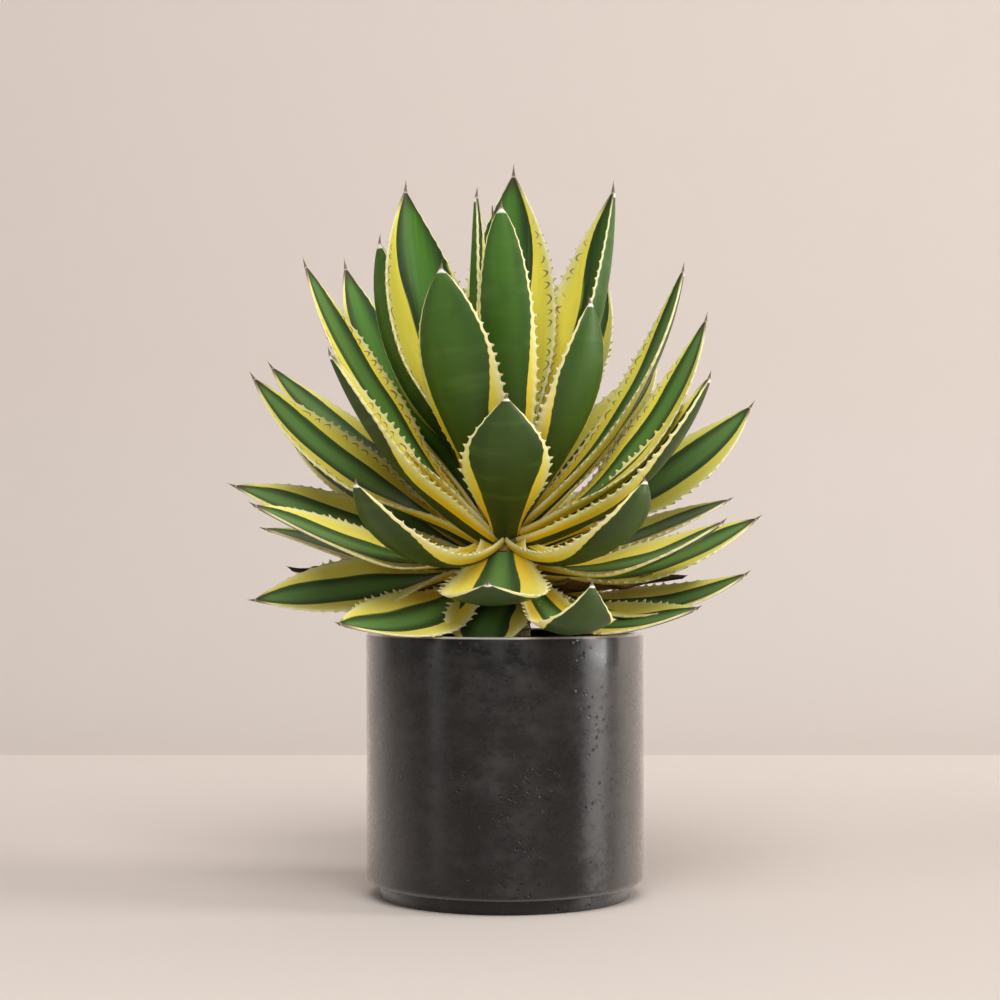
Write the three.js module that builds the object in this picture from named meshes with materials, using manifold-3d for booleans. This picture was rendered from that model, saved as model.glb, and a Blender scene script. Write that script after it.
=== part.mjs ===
// Potted variegated century plant: a rosette of toothed, striped leaves on a
// short stem, growing in potting mix that fills a plain cylindrical glazed pot.
// Millimetres, +Z up. The origin is the centre of the pot's flat underside,
// and -Y is the front. Every leaf is a solid of its own.
import * as THREE from "three";
import { mergeVertices } from "three/addons/utils/BufferGeometryUtils.js";
import Module from "manifold-3d";

const wasm = await Module();
wasm.setup();

// Pot: driving dimensions.
const POT_DIAMETER = 150;
const POT_HEIGHT = 142;
const POT_WALL = 5;
const POT_BASE = 9;
const FOOT_DIAMETER = 136;
const FOOT_HEIGHT = 7.5;
const RIM_ROUND = 1.6;
const EDGE_ROUND = 4;
const POT_SIDES = 44;

// Potting mix and stem.
const CLEARANCE = 0.3;
const MIX_BELOW_RIM = 13;
const MIX_DOME = 3;
const STEM_DEPTH_IN_MIX = 22;
const STEM_RADIUS = 14;
const STEM_SIDES = 16;
const CROWN_HEIGHT = 208;
const CROWN_RADIUS = 5;
const CROWN_TAPER = 34;
const BUD_TIP = [-7, 2, 374];
const BUD_RADIUS = 8;
const BUD_SIDES = 12;
const ROOT_DEPTH_IN_STEM = 3;

// Leaves: sizes shared by all of them.
const NECK_HALF_WIDTH = 6.5;
const WIDEST_AT = 0.52;
const BLADE_END = 0.965;
const SLENDER_TIP = { fullness: 1.8, sharpness: 1.15 };
const BLUNT_TIP = { fullness: 3, sharpness: 0.6 };
const TIP_BLUNTNESS = 0.3;
const SPINE_HALF_WIDTH = 0.9;
const BASE_THICKNESS = 4.6;
const MIDDLE_THICKNESS = 3.2;
const TIP_THICKNESS = 1.5;
const MARGIN_THICKNESS = 1.0;
const BASE_CUP = 48;
const HANDLE = 0.36;
const LEAF_GAP = 0.45;
const SLIVER = 0.03;
const STATIONS = [0, 0.08, 0.2, 0.33, 0.46, 0.59, 0.72, 0.84, 0.92, BLADE_END];
const RIB_ROWS = [-0.55, 0, 0.55];

// Teeth along both margins.
const TOOTH_PITCH = 31;
const TOOTH_LENGTH = 2.8;
const TOOTH_HALF_BASE = 1.4;
const FIRST_TOOTH_AT = 0.2;
const LAST_TOOTH_AT = 0.9;
const FEWEST_TEETH = 3;

// Leaves from the innermost to the outermost. tip is where the terminal spine
// ends and root the height at which the leaf leaves the stem. launch and finish
// are the climb of the midrib in degrees at the stem and at the tip, roll turns
// the upper face about the midrib and cup is how far the margins curl up. neck is
// the half width at the stem, full is how blunt the tip is from 0 to 1, turn moves
// the root round the stem, and start and end are the lengths of the curve's handles.
const LEAVES = [
  { tip: [-15, 4, 385], root: 204, width: 26, launch: 76, finish: 92, roll: 0, cup: 60, turn: 15 },
  { tip: [5, 45, 405], root: 203, width: 54, launch: 80, finish: 88, roll: 0, cup: 38 },
  {
    tip: [-2, -16, 375], root: 203, width: 30, launch: 80, finish: 94, roll: 0, cup: 30,
    full: 0.7, turn: 35,
  },
  { tip: [60, 20, 391], root: 202, width: 60, launch: 62, finish: 86, roll: 8, cup: 66 },
  { tip: [-55, 28, 393], root: 202, width: 60, launch: 66, finish: 92, roll: -24, cup: 34 },
  { tip: [-33, -42, 338], root: 199, width: 48, launch: 66, finish: 94, roll: 8, cup: 34, full: 0.55 },
  { tip: [-71, 56, 368], root: 198, width: 38, launch: 64, finish: 92, roll: 80, cup: 26, full: 0.6 },
  { tip: [43, -52, 318], root: 200, width: 34, launch: 46, finish: 104, roll: 0, cup: 34, full: 0.5 },
  { tip: [-94, 86, 358], root: 195, width: 46, launch: 54, finish: 76, roll: -6, cup: 30 },
  { tip: [100, 30, 348], root: 198, width: 38, launch: 38, finish: 78, roll: 0, cup: 30, full: 0.4 },
  { tip: [60, 92, 352], root: 198, width: 46, launch: 60, finish: 72, roll: 0, cup: 30 },
  { tip: [-110, 0, 346], root: 195, width: 46, launch: 43, finish: 68, roll: -24, cup: 16 },
  {
    tip: [0.5, -64, 267], root: 195, width: 47, launch: 32, finish: 84, roll: 0, cup: 34,
    neck: 8.5, full: 0.2,
  },
  { tip: [109, -10, 315], root: 195, width: 46, launch: 20, finish: 74, roll: 26, cup: 16 },
  { tip: [-8, 116, 336], root: 194, width: 46, launch: 52, finish: 68, roll: 0, cup: 30 },
  { tip: [-92, -50, 292], root: 192, width: 38, launch: 27, finish: 66, roll: -30, cup: 50, full: 0.5 },
  { tip: [108, -38, 281], root: 191, width: 38, launch: 11, finish: 72, roll: 26, cup: 50, full: 0.5 },
  { tip: [-139, 85, 298], root: 190, width: 46, launch: 34, finish: 46, roll: -10, cup: 16 },
  { tip: [92, 102, 305], root: 190, width: 46, launch: 42, finish: 52, roll: 0, cup: 28 },
  { tip: [-139, 0, 284], root: 188, width: 48, launch: 28, finish: 54, roll: -30, cup: 16 },
  { tip: [35, 138, 290], root: 185, width: 46, launch: 34, finish: 50, roll: 0, cup: 28 },
  { tip: [139, 25, 270], root: 187, width: 46, launch: 21, finish: 50, roll: 32, cup: 14 },
  { tip: [-66, 128, 284], root: 184, width: 46, launch: 32, finish: 46, roll: 0, cup: 28 },
  {
    tip: [-75, -85, 223], root: 191, width: 42, launch: -34, finish: 84, roll: -12, cup: 40,
    neck: 8, full: 0.55,
  },
  {
    tip: [69, -85, 224], root: 191, width: 42, launch: -34, finish: 104, roll: 12, cup: 40,
    neck: 8, full: 0.55,
  },
  { tip: [-124, 78, 250], root: 180, width: 44, launch: 20, finish: 34, roll: -14, cup: 28 },
  { tip: [118, 84, 250], root: 183, width: 44, launch: 20, finish: 34, roll: 0, cup: 28 },
  { tip: [-6, 160, 256], root: 178, width: 46, launch: 20, finish: 34, roll: 0, cup: 28 },
  { tip: [-151, 0, 223], root: 182, width: 52, launch: 7, finish: 16, roll: -26, cup: 16 },
  { tip: [140, 0, 206], root: 173, width: 44, launch: -10, finish: 30, roll: 24, cup: 16 },
  { tip: [-131, -70, 211], root: 183, width: 52, launch: -12, finish: 22, roll: -24, cup: 16 },
  { tip: [114, -60, 203], root: 180, width: 46, launch: -12, finish: 34, roll: 20, cup: 18 },
  { tip: [130, 48, 217], root: 179, width: 44, launch: 5, finish: 20, roll: 8, cup: 16 },
  { tip: [70, 135, 232], root: 173, width: 46, launch: 12, finish: 22, roll: 0, cup: 26 },
  { tip: [-70, 138, 226], root: 172, width: 46, launch: 12, finish: 20, roll: 0, cup: 26 },
  { tip: [-140, 52, 200], root: 173, width: 44, launch: -4, finish: 8, roll: -10, cup: 16 },
  { tip: [-9, -92, 172], root: 189, width: 54, launch: -44, finish: 56, roll: 0, cup: 16, neck: 13 },
  {
    tip: [43, -92, 172], root: 180, width: 42, launch: -35, finish: 86, roll: 0, cup: 22,
    neck: 8, full: 0.1, start: 0.85, end: 0.38,
  },
  { tip: [22, 150, 206], root: 167, width: 46, launch: 6, finish: 10, roll: 0, cup: 24 },
  { tip: [130, -30, 176], root: 171, width: 44, launch: -30, finish: 32, roll: 20, cup: 16, neck: 7 },
  { tip: [-137, -25, 160], root: 177, width: 50, launch: -10, finish: -4, roll: -32, cup: 16 },
  { tip: [101, -62, 158], root: 167, width: 44, launch: -38, finish: 20, roll: 20, cup: 16, neck: 7 },
  { tip: [-86, -83, 150], root: 178, width: 50, launch: -44, finish: 8, roll: -22, cup: 16, neck: 8 },
  { tip: [108, 92, 178], root: 161, width: 44, launch: -6, finish: -4, roll: 0, cup: 24 },
  { tip: [-86, 112, 172], root: 161, width: 44, launch: -8, finish: -6, roll: 0, cup: 24 },
  { tip: [22, 118, 149], root: 155, width: 44, launch: -6, finish: -4, roll: 0, cup: 24 },
  {
    tip: [-12, -57, 134], root: 171, width: 46, launch: -56, finish: -84, roll: 0, cup: 18,
    neck: 11, full: 1, turn: 10,
  },
  { tip: [80, 62, 156], root: 152, width: 38, launch: -4, finish: 0, roll: 0, cup: 24 },
  { tip: [-84, 46, 154], root: 153, width: 38, launch: -4, finish: -4, roll: 0, cup: 24 },
  { tip: [-36, 88, 152], root: 150, width: 38, launch: -2, finish: 0, roll: 0, cup: 24 },
  { tip: [99, -6, 173], root: 168, width: 18, launch: -4, finish: 6, roll: 15, cup: 50, dry: true },
  { tip: [-120, 10, 178], root: 163, width: 20, launch: 2, finish: 20, roll: -30, cup: 50, dry: true },
];

const COLORS = {
  pot: { color: 0x33302e, roughness: 0.4, metalness: 0 },
  mix: { color: 0x3a2a1e, roughness: 0.95, metalness: 0 },
  stem: { color: 0x8a8350, roughness: 0.7, metalness: 0 },
  bud: { color: 0xb9c060, roughness: 0.5, metalness: 0 },
  leaf: { color: 0x4a7034, roughness: 0.45, metalness: 0 },
  dryLeaf: { color: 0x6b4a32, roughness: 0.85, metalness: 0 },
};

function material(name) {
  return new THREE.MeshStandardMaterial(COLORS[name]);
}

function toManifold(geometry) {
  const bare = geometry.clone();
  bare.deleteAttribute("normal");
  bare.deleteAttribute("uv");
  const merged = mergeVertices(bare, 1e-4);
  const vertProperties = new Float32Array(merged.attributes.position.array);
  const triVerts = new Uint32Array(merged.index.array);
  return new wasm.Manifold(new wasm.Mesh({ numProp: 3, vertProperties, triVerts }));
}

function toGeometry(solid) {
  const mesh = solid.getMesh();
  const geometry = new THREE.BufferGeometry();
  geometry.setAttribute("position", new THREE.BufferAttribute(mesh.vertProperties, 3));
  geometry.setIndex(new THREE.BufferAttribute(mesh.triVerts, 1));
  return geometry;
}

function largestBody(solid) {
  const bodies = solid.decompose();
  return bodies.reduce((best, body) => (body.volume() > best.volume() ? body : best));
}

// A closed lathe about +Z from [radius, height] pairs.
function turned(profile, sides) {
  const points = profile.map(([radius, height]) => new THREE.Vector2(radius, height));
  const geometry = new THREE.LatheGeometry(points, sides);
  geometry.rotateX(Math.PI / 2);
  return geometry;
}

function roundedCorner(centreRadius, centreHeight, round, fromDegrees, toDegrees, steps) {
  const points = [];
  for (let i = 0; i <= steps; i++) {
    const angle = THREE.MathUtils.degToRad(THREE.MathUtils.lerp(fromDegrees, toDegrees, i / steps));
    points.push([centreRadius + round * Math.cos(angle), centreHeight + round * Math.sin(angle)]);
  }
  return points;
}

function potProfile() {
  const outer = POT_DIAMETER / 2;
  const foot = FOOT_DIAMETER / 2;
  const inner = outer - POT_WALL;
  return [
    [0, 0],
    [foot, 0],
    [foot, FOOT_HEIGHT],
    ...roundedCorner(outer - EDGE_ROUND, FOOT_HEIGHT + EDGE_ROUND, EDGE_ROUND, -90, 0, 3),
    ...roundedCorner(outer - RIM_ROUND, POT_HEIGHT - RIM_ROUND, RIM_ROUND, 0, 90, 2),
    ...roundedCorner(inner + RIM_ROUND, POT_HEIGHT - RIM_ROUND, RIM_ROUND, 90, 180, 2),
    [inner, POT_BASE],
    [0, POT_BASE],
  ];
}

function mixProfile() {
  const outer = POT_DIAMETER / 2 - POT_WALL - CLEARANCE;
  const hole = STEM_RADIUS + CLEARANCE;
  const bottom = POT_BASE + CLEARANCE;
  const edge = POT_HEIGHT - MIX_BELOW_RIM;
  const holeBottom = edge - STEM_DEPTH_IN_MIX;
  return [
    [0, bottom],
    [outer, bottom],
    [outer, edge],
    [outer * 0.6, edge + MIX_DOME * 0.7],
    [hole, edge + MIX_DOME],
    [hole, holeBottom],
    [0, holeBottom],
  ];
}

// The stem narrows to the growing point, where the bud stands on its flat top.
function stemRadius(height) {
  const t = THREE.MathUtils.clamp((CROWN_HEIGHT - height) / CROWN_TAPER, 0, 1);
  return THREE.MathUtils.lerp(CROWN_RADIUS, STEM_RADIUS, Math.sin((t * Math.PI) / 2));
}

function stemProfile(grow) {
  const bottom = POT_HEIGHT - MIX_BELOW_RIM - STEM_DEPTH_IN_MIX + CLEARANCE;
  const rings = [0.35, 0.55, 0.75, 0.9];
  const taper = rings.map((t) => {
    const height = CROWN_HEIGHT - CROWN_TAPER * (1 - t);
    return [stemRadius(height) + grow, height];
  });
  return [
    [0, bottom],
    [STEM_RADIUS + grow, bottom],
    [STEM_RADIUS + grow, CROWN_HEIGHT - CROWN_TAPER],
    ...taper,
    [CROWN_RADIUS + grow, CROWN_HEIGHT + grow],
    [0, CROWN_HEIGHT + grow],
  ];
}

// The bud is the spear of leaves that are still rolled round each other.
function budGeometry(grow) {
  const foot = CROWN_HEIGHT + CLEARANCE - grow;
  const length = BUD_TIP[2] - foot;
  const swell = [
    [0, 0],
    [0.55, 0],
    [0.85, 0.12],
    [1, 0.32],
    [0.82, 0.56],
    [0.45, 0.8],
    [0.14, 0.95],
  ];
  const profile = swell.map(([r, t]) => [r * BUD_RADIUS + (r > 0 ? grow : 0), foot + t * length]);
  profile.push([0, BUD_TIP[2] + grow]);
  const geometry = turned(profile, BUD_SIDES);
  const position = geometry.attributes.position;
  for (let i = 0; i < position.count; i++) {
    const lean = Math.max(0, (position.getZ(i) - foot) / length) ** 2;
    position.setX(i, position.getX(i) + BUD_TIP[0] * lean);
    position.setY(i, position.getY(i) + BUD_TIP[1] * lean);
  }
  return geometry;
}

function direction(azimuth, climb) {
  const a = THREE.MathUtils.degToRad(climb);
  return new THREE.Vector3(Math.cos(a) * Math.cos(azimuth), Math.cos(a) * Math.sin(azimuth), Math.sin(a));
}

// The midrib is one cubic curve from inside the stem to the tip.
function midrib(leaf) {
  const tip = new THREE.Vector3(...leaf.tip);
  const azimuth = Math.atan2(tip.y, tip.x);
  const rootAzimuth = azimuth + THREE.MathUtils.degToRad(leaf.turn ?? 0);
  const height = leaf.root;
  const depth = Math.max(stemRadius(height) - ROOT_DEPTH_IN_STEM, 0.5);
  const root = new THREE.Vector3(Math.cos(rootAzimuth) * depth, Math.sin(rootAzimuth) * depth, height);
  const chord = tip.distanceTo(root);
  const start = (leaf.start ?? HANDLE) * chord;
  const end = (leaf.end ?? HANDLE) * chord;
  const second = root.clone().addScaledVector(direction(rootAzimuth, leaf.launch), start);
  const third = tip.clone().addScaledVector(direction(azimuth, leaf.finish), -end);
  return new THREE.CubicBezierCurve3(root, second, third, tip);
}

function halfWidthAt(leaf, s) {
  const widest = leaf.width / 2;
  if (s < WIDEST_AT) {
    const t = s / WIDEST_AT;
    return THREE.MathUtils.lerp(leaf.neck ?? NECK_HALF_WIDTH, widest, t * t * (3 - 2 * t));
  }
  const u = Math.min((s - WIDEST_AT) / (BLADE_END - WIDEST_AT), 1);
  const blunt = leaf.full ?? TIP_BLUNTNESS;
  const fullness = THREE.MathUtils.lerp(SLENDER_TIP.fullness, BLUNT_TIP.fullness, blunt);
  const sharpness = THREE.MathUtils.lerp(SLENDER_TIP.sharpness, BLUNT_TIP.sharpness, blunt);
  return THREE.MathUtils.lerp(SPINE_HALF_WIDTH, widest, (1 - u ** fullness) ** sharpness);
}

function thicknessAt(s) {
  if (s < 0.5) {
    return THREE.MathUtils.lerp(BASE_THICKNESS, MIDDLE_THICKNESS, s / 0.5);
  }
  return THREE.MathUtils.lerp(MIDDLE_THICKNESS, TIP_THICKNESS, (s - 0.5) / 0.5);
}

// The section at s: its centre, its side and face directions, and its curl.
function sectionAt(leaf, curve, s) {
  const azimuth = Math.atan2(leaf.tip[1], leaf.tip[0]);
  const outward = new THREE.Vector3(Math.cos(azimuth), Math.sin(azimuth), 0);
  const along = curve.getTangent(s);
  const climb = Math.atan2(along.z, along.dot(outward));
  const face = outward.clone().multiplyScalar(-Math.sin(climb));
  face.z = Math.cos(climb);
  face.addScaledVector(along, -face.dot(along)).normalize();
  const twist = THREE.MathUtils.smoothstep(s, 0.05, 0.5);
  face.applyAxisAngle(along, THREE.MathUtils.degToRad(leaf.roll) * twist);
  const side = new THREE.Vector3().crossVectors(along, face);
  const curl = THREE.MathUtils.lerp(BASE_CUP, leaf.cup, THREE.MathUtils.smoothstep(s, 0, 0.35));
  return { centre: curve.getPoint(s), side, face, curl: THREE.MathUtils.degToRad(curl) };
}

// A point of the leaf at s along it and v across it, from -1 to 1. depth is 0
// on the upper face and 1 on the lower face; beyond pushes past the margin.
function leafPoint(leaf, curve, s, v, depth, grow, beyond = 0) {
  const { centre, side, face, curl } = sectionAt(leaf, curve, s);
  const halfWidth = halfWidthAt(leaf, s) + grow;
  const radius = halfWidth / curl;
  const angle = curl * v;
  const across = radius * Math.sin(angle) + Math.sign(v) * beyond * Math.cos(angle);
  const lift = radius * (1 - Math.cos(angle)) + beyond * Math.sin(Math.abs(angle));
  const thick = MARGIN_THICKNESS + (thicknessAt(s) - MARGIN_THICKNESS) * (1 - v * v) + 2 * grow;
  const inward = grow - depth * thick;
  const point = centre.clone();
  point.addScaledVector(side, across - Math.sin(angle) * inward);
  point.addScaledVector(face, lift + Math.cos(angle) * inward);
  return point;
}

// Where each margin has its vertices. A tooth stands between the two at its foot.
function marginStops(length) {
  const stops = [{ s: 0 }];
  const halfBase = TOOTH_HALF_BASE / length;
  const toothed = (LAST_TOOTH_AT - FIRST_TOOTH_AT) * length;
  const count = Math.max(Math.round(toothed / TOOTH_PITCH) + 1, FEWEST_TEETH);
  for (let i = 0; i < count; i++) {
    const s = THREE.MathUtils.lerp(FIRST_TOOTH_AT, LAST_TOOTH_AT, i / (count - 1));
    stops.push({ s: s - halfBase, tooth: s });
    stops.push({ s: s + halfBase });
  }
  stops.push({ s: BLADE_END });
  return stops;
}

// The closed mesh of one leaf. grow thickens it evenly, teeth and spine too.
function leafGeometry(leaf, grow = 0) {
  const curve = midrib(leaf);
  const length = curve.getLength();
  const points = [];
  const faces = [];
  const add = (...args) => points.push(leafPoint(leaf, curve, ...args)) - 1;
  const row = (v, stops) => ({
    stops,
    upper: stops.map(({ s }) => add(s, v, 0, grow)),
    lower: stops.map(({ s }) => add(s, v, 1, grow)),
    teeth: stops.map(({ tooth }) => (tooth ? add(tooth, v, 0.5, grow, TOOTH_LENGTH) : null)),
  });
  const ribs = RIB_ROWS.map((v) => row(v, STATIONS.map((s) => ({ s }))));
  const margins = [-1, 1].map((v) => row(v, marginStops(length)));
  const ordered = [margins[0], ...ribs, margins[1]];
  // Join neighbouring rows, alike on both faces.
  for (let r = 0; r + 1 < ordered.length; r++) {
    const a = ordered[r];
    const b = ordered[r + 1];
    let i = 0;
    let j = 0;
    while (i + 1 < a.stops.length || j + 1 < b.stops.length) {
      const stepA = j + 1 >= b.stops.length
        || (i + 1 < a.stops.length && a.stops[i + 1].s <= b.stops[j + 1].s);
      if (stepA) {
        faces.push([a.upper[i], b.upper[j], a.upper[i + 1]]);
        faces.push([a.lower[i], a.lower[i + 1], b.lower[j]]);
        i += 1;
      } else {
        faces.push([a.upper[i], b.upper[j], b.upper[j + 1]]);
        faces.push([a.lower[i], b.lower[j + 1], b.lower[j]]);
        j += 1;
      }
    }
  }
  // Close the two margins, with a pyramid where a tooth stands.
  for (const [edge, flip] of [[margins[0], false], [margins[1], true]]) {
    for (let i = 0; i + 1 < edge.stops.length; i++) {
      const corners = [edge.upper[i], edge.upper[i + 1], edge.lower[i + 1], edge.lower[i]];
      if (flip) {
        corners.reverse();
      }
      const point = edge.teeth[i];
      if (point === null) {
        faces.push([corners[0], corners[1], corners[2]]);
        faces.push([corners[0], corners[2], corners[3]]);
      } else {
        corners.forEach((corner, k) => faces.push([corner, corners[(k + 1) % 4], point]));
      }
    }
  }
  // Close the root with a flat cap and the tip with the terminal spine.
  const spineTip = points.push(curve.getPoint(1).addScaledVector(curve.getTangent(1), grow)) - 1;
  for (let r = 0; r + 1 < ordered.length; r++) {
    const a = ordered[r];
    const b = ordered[r + 1];
    faces.push([a.upper[0], a.lower[0], b.lower[0]]);
    faces.push([a.upper[0], b.lower[0], b.upper[0]]);
    faces.push([a.upper.at(-1), b.upper.at(-1), spineTip]);
    faces.push([a.lower.at(-1), spineTip, b.lower.at(-1)]);
  }
  for (const [edge, flip] of [[margins[0], false], [margins[1], true]]) {
    const face = [edge.upper.at(-1), spineTip, edge.lower.at(-1)];
    faces.push(flip ? face.reverse() : face);
  }
  const geometry = new THREE.BufferGeometry();
  geometry.setFromPoints(points);
  geometry.setIndex(faces.flat());
  return geometry;
}

const plant = new THREE.Group();
plant.name = "potted_century_plant";

function place(name, geometry, look) {
  const mesh = new THREE.Mesh(geometry, material(look));
  mesh.name = name;
  plant.add(mesh);
}

function buildPot() {
  place("pot", turned(potProfile(), POT_SIDES), "pot");
  place("potting_mix", turned(mixProfile(), POT_SIDES), "mix");
}

// Each leaf is cut clear of the stem, the bud and the leaves inside it.
function buildRosette() {
  place("stem", turned(stemProfile(0), STEM_SIDES), "stem");
  place("bud", budGeometry(0), "bud");
  const kept = [toManifold(turned(stemProfile(CLEARANCE), STEM_SIDES)), toManifold(budGeometry(CLEARANCE))];
  LEAVES.forEach((leaf, rank) => {
    let solid = toManifold(leafGeometry(leaf));
    for (const neighbour of kept) solid = solid.subtract(neighbour);
    solid = largestBody(solid).asOriginal().simplify(SLIVER);
    kept.push(toManifold(leafGeometry(leaf, LEAF_GAP)));
    const name = `${leaf.dry ? "dry_leaf" : "leaf"}_${String(rank + 1).padStart(2, "0")}`;
    place(name, toGeometry(solid), leaf.dry ? "dryLeaf" : "leaf");
  });
}

buildPot();
buildRosette();

export default plant;
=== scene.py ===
"""Potted variegated century plant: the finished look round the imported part.

Metres in the part's frame: +Z up, -Y is the front, and the origin is the centre
of the pot's underside. Leaf sizes are written in millimetres and scaled once.
"""
import math

import bpy
import numpy as np
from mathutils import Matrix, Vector


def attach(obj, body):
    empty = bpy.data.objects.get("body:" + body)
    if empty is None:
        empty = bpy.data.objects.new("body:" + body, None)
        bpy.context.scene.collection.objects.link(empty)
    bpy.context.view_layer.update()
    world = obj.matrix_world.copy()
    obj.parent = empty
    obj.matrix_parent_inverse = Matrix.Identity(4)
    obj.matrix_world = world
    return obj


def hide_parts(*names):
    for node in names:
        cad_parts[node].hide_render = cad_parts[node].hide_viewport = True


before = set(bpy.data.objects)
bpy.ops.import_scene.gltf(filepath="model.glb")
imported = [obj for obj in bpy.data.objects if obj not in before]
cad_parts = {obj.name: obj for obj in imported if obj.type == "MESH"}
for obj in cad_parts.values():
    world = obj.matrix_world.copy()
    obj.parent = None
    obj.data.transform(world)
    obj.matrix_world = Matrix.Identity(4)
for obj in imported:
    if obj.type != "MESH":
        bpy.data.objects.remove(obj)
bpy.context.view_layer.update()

MM = 0.001

# Pot, potting mix and stem, in millimetres.
POT_RADIUS = 75.0
POT_HEIGHT = 142.0
POT_WALL = 5.0
POT_BASE = 9.0
FOOT_RADIUS = 68.0
FOOT_HEIGHT = 7.5
RIM_ROUND = 1.6
EDGE_ROUND = 4.0
CLEARANCE = 0.3
MIX_EDGE = 129.0
MIX_DOME = 3.0
STEM_RADIUS = 14.0
CROWN_HEIGHT = 208.0
CROWN_RADIUS = 5.0
CROWN_TAPER = 34.0
STEM_FOOT = 107.3
BUD_TIP = (-7, 2, 374)
BUD_RADIUS = 8.0
BUD_TURNS = 1.2
BUD_LAPS = 3
SCAR_PITCH = 4.2
SCAR_HEIGHT = 0.35
CHIPS = 150
CHIP_SIDES = 7
CHIP_HALF_SIZE = (5.5, 3.2, 1.6)

# Leaves: sizes shared by all of them, in millimetres or as shares of the leaf.
NECK_HALF_WIDTH = 6.5
WIDEST_AT = 0.52
BLADE_END = 0.965
# Outline of the tip, from slender to blunt.
TIP_FULLNESS = (1.8, 3)
TIP_SHARPNESS = (1.15, 0.6)
TIP_BLUNTNESS = 0.3
SPINE_HALF_WIDTH = 0.7
BASE_THICKNESS = 4.6
MIDDLE_THICKNESS = 3.2
TIP_THICKNESS = 1.5
MARGIN_THICKNESS = 1.0
BASE_CUP = 48
HANDLE = 0.36
ROOT_DEPTH_IN_STEM = 3
STATION_STEP = 1.2
COLUMNS = 17
SPINE_STATIONS = 6
SPINE_POINT = 0.06
RIM_BULGE = 0.35
# Where the roll sets in along the leaf, and where the curl reaches the leaf's own.
ROLLS_FROM, ROLLED_BY = 0.05, 0.5
CURLED_BY = 0.35
# Height, length and share of the phase of each ripple in a dry leaf.
RIPPLES = ((2.2, 6.5, 1), (1.4, 3.1, 2))
# Material places of a leaf.
UPPER, UNDERSIDE, TOOTH, SPINE = range(4)

# Teeth, in millimetres.
TOOTH_PITCH = 5.8
TOOTH_LENGTH = 1.9
TOOTH_HALF_BASE = 1.25
TOOTH_HALF_THICKNESS = 0.5
SCALLOP = 1.3
SCALLOP_REACH = 2.7
TOOTH_SIDES = 6
# Height, width and bend of each ring of a tooth, as shares of the tooth.
TOOTH_LEVELS = [(-0.28, 1.0, 0.0), (0.45, 0.62, 0.2), (0.8, 0.27, 0.6)]
FIRST_TOOTH_AT = 0.13
LAST_TOOTH_AT = 0.925

# Stage, in millimetres, and camera, in metres.
WALL_AT = 1300
WALL_BEND = 420
WALL_HEIGHT = 3200
FLOOR_FRONT = -9000
STAGE_HALF_WIDTH = 9000
# Where the floor's painted light ends in a painted line, and where that painted light starts.
PAINTED_BEND_AT = 793
PAINTED_LIGHT_FROM = 150
CAMERA_AT = (-0.0027, -1.1, 0.18)
LENS = 72.97
SENSOR = 36
LENS_SHIFT = 0.0623

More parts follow.
